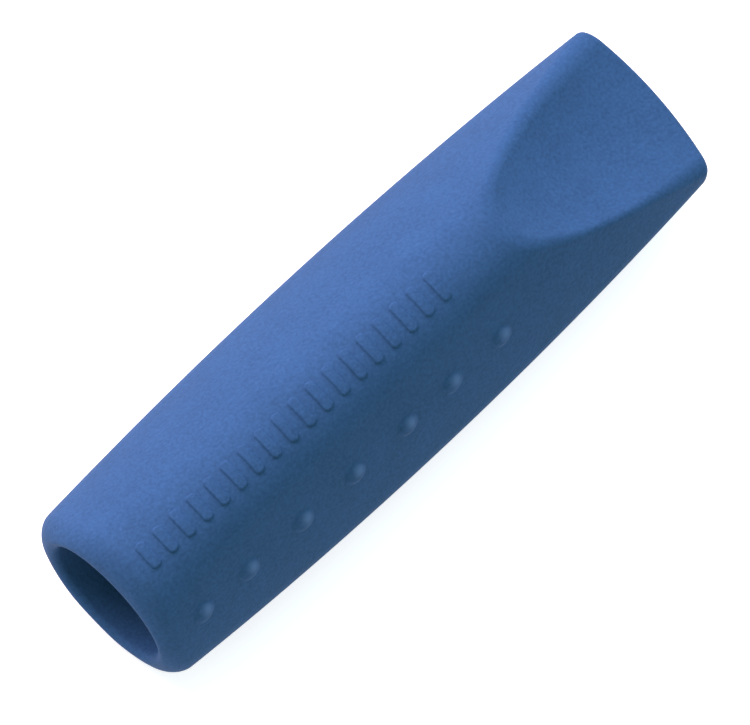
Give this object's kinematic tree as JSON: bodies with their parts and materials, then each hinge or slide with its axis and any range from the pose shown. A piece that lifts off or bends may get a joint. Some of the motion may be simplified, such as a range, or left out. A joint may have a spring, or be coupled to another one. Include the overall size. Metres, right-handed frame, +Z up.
{
  "type": "pencil cap eraser",
  "caption": "Soft rubber cap eraser with a rounded three-sided barrel, a round pencil socket, raised grip dots, a scooped erasing tip and plain raised bars along its ridge.",
  "frame": {"origin": "centre of the pencil socket at its mouth", "axes": "+X along the eraser from the mouth to the erasing tip, -X out of the socket; +Z up through the rounded ridge; the flat third side faces down"},
  "size_m": [0.042, 0.0124, 0.0119],
  "materials": {
    "blue_rubber": "matte"
  },
  "bodies": {
    "root": {"eraser_body": "blue_rubber", "grip_dot_1": "blue_rubber", "grip_dot_2": "blue_rubber", "grip_dot_3": "blue_rubber", "grip_dot_4": "blue_rubber", "grip_dot_5": "blue_rubber", "grip_dot_6": "blue_rubber", "grip_dot_7": "blue_rubber", "ridge_bars": "blue_rubber"}
  },
  "joints": []
}
